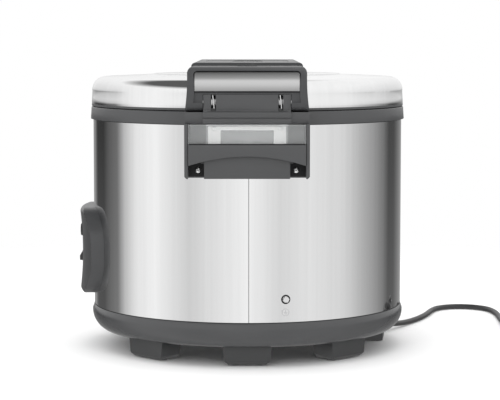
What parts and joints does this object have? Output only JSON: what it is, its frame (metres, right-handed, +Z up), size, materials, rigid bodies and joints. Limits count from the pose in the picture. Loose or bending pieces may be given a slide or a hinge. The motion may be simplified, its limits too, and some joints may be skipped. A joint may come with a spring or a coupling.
{
  "type": "rice cooker",
  "caption": "Commercial rice cooker: round polished steel body, dark plastic base and rim, rear-hinged domed lid, dew collector, side control panel and mains lead.",
  "frame": {"origin": "on the body axis in the plane that the feet stand on", "axes": "+Z up, +Y towards the hinge and dew collector, -Y towards the latch, +X towards the control panel"},
  "size_m": [0.7426, 0.5665, 0.3972],
  "materials": {
    "steel_polished": "mirror-polished stainless sheet",
    "steel_satin": "satin stainless sheet",
    "base_plastic": "dark grey satin moulding",
    "rim_plastic": "dark grey satin moulding",
    "foot_plastic": "dark grey textured moulding",
    "cover_plastic": "grey gloss moulding",
    "panel_plastic": "dark grey satin moulding",
    "lever_plastic": "black gloss moulding",
    "lens_red": "translucent red lamp lens",
    "lens_amber": "translucent amber lamp lens",
    "aluminium_cast": "cast and machined",
    "aluminium_pot": "spun, satin anodised",
    "seal_rubber": "translucent grey silicone",
    "clear_plastic": "clear moulded styrene",
    "white_plastic": "white moulding",
    "screw_steel": "bright plated",
    "spring_steel": "drawn spring wire",
    "mark_plate": "stamped disc",
    "cord_rubber": "black rubber sheath",
    "tie_plastic": "black strap",
    "terminal_ceramic": "white porcelain",
    "heater_sheath": "oxidised steel sheath",
    "switch_plastic": "black moulding"
  },
  "bodies": {
    "root": {"base_pan": "base_plastic", "base_screws": "screw_steel", "outer_shell": "steel_polished", "upper_rim": "rim_plastic", "inner_liner": "steel_satin", "keep_warm_band": "heater_sheath", "inner_pot": "aluminium_pot", "heating_plate": "aluminium_cast", "heating_element": "heater_sheath", "sensor_spring": "spring_steel", "plunger_guide": "steel_satin", "thermal_fuse": "terminal_ceramic", "terminal_block": "terminal_ceramic", "control_panel": "panel_plastic", "cook_lens": "lens_red", "warm_lens": "lens_amber", "lever_pin": "screw_steel", "microswitch": "switch_plastic", "latch_keeper": "steel_satin", "hinge_block": "rim_plastic", "hinge_pin": "screw_steel", "hinge_spring_left": "spring_steel", "hinge_spring_right": "spring_steel", "collector_bracket": "rim_plastic", "rear_screws": "screw_steel", "earth_stud": "screw_steel", "earth_washer": "screw_steel", "earth_mark": "mark_plate", "cord_outlet": "foot_plastic", "strain_relief": "cord_rubber", "power_cord": "cord_rubber", "cord_coil": "cord_rubber", "coil_tie": "tie_plastic", "plug_body": "cord_rubber", "plug_pins": "screw_steel", "foot_1": "foot_plastic", "foot_2": "foot_plastic", "foot_3": "foot_plastic", "foot_4": "foot_plastic", "foot_5": "foot_plastic", "foot_6": "foot_plastic"},
    "lid": {"lid_shell": "steel_polished", "lid_rim": "rim_plastic", "inner_lid": "aluminium_pot", "inner_lid_post": "steel_satin", "lid_gasket": "seal_rubber", "lid_bridge": "cover_plastic", "vent_seal": "seal_rubber", "latch_pin": "screw_steel", "hinge_bracket": "steel_satin", "hinge_cover": "cover_plastic"},
    "vent": {"vent_cap": "cover_plastic"},
    "button": {"latch_button": "lever_plastic"},
    "hook": {"latch_hook": "steel_satin"},
    "collector": {"collector_cup": "clear_plastic", "collector_grip": "rim_plastic", "cup_baffle": "white_plastic"},
    "lever": {"cook_lever": "lever_plastic"},
    "sensor": {"sensor_cap": "aluminium_cast"},
    "plunger": {"magnet_plunger": "heater_sheath"}
  },
  "joints": [
    {"name": "lid_hinge", "type": "hinge", "parent": "root", "child": "lid", "pos_m": [0, 0.225, 0.348], "axis": [-1, 0, 0], "range_deg": [0, 90]},
    {"name": "vent_lift", "type": "slide", "parent": "lid", "child": "vent", "axis": [0, 0, 1], "range_m": [0, 0.022]},
    {"name": "latch_press", "type": "slide", "parent": "lid", "child": "button", "axis": [0, 1, 0], "range_m": [0, 0.004], "stiffness_N_per_m": 500, "springref_m": -0.001},
    {"name": "hook_turn", "type": "hinge", "parent": "lid", "child": "hook", "pos_m": [0, -0.2214, 0.354], "axis": [-1, 0, 0], "range_deg": [0, 4]},
    {"name": "collector_slide", "type": "slide", "parent": "root", "child": "collector", "axis": [0, 1, 0], "range_m": [0, 0.06]},
    {"name": "lever_press", "type": "hinge", "parent": "root", "child": "lever", "pos_m": [0.223, 0, 0.139], "axis": [0, 1, 0], "range_deg": [0, 12], "stiffness_Nm_per_rad": 0.4, "springref_deg": -2.86},
    {"name": "plunger_lift", "type": "slide", "parent": "root", "child": "plunger", "axis": [0, 0, 1], "range_m": [0, 0.003]},
    {"name": "sensor_press", "type": "slide", "parent": "root", "child": "sensor", "axis": [0, 0, 1], "range_m": [-0.003, 0], "stiffness_N_per_m": 600, "springref_m": 0.002}
  ],
  "couplings": [
    {"joint": "hook_turn", "follows": "latch_press", "rad_per_m": 17.4}
  ]
}
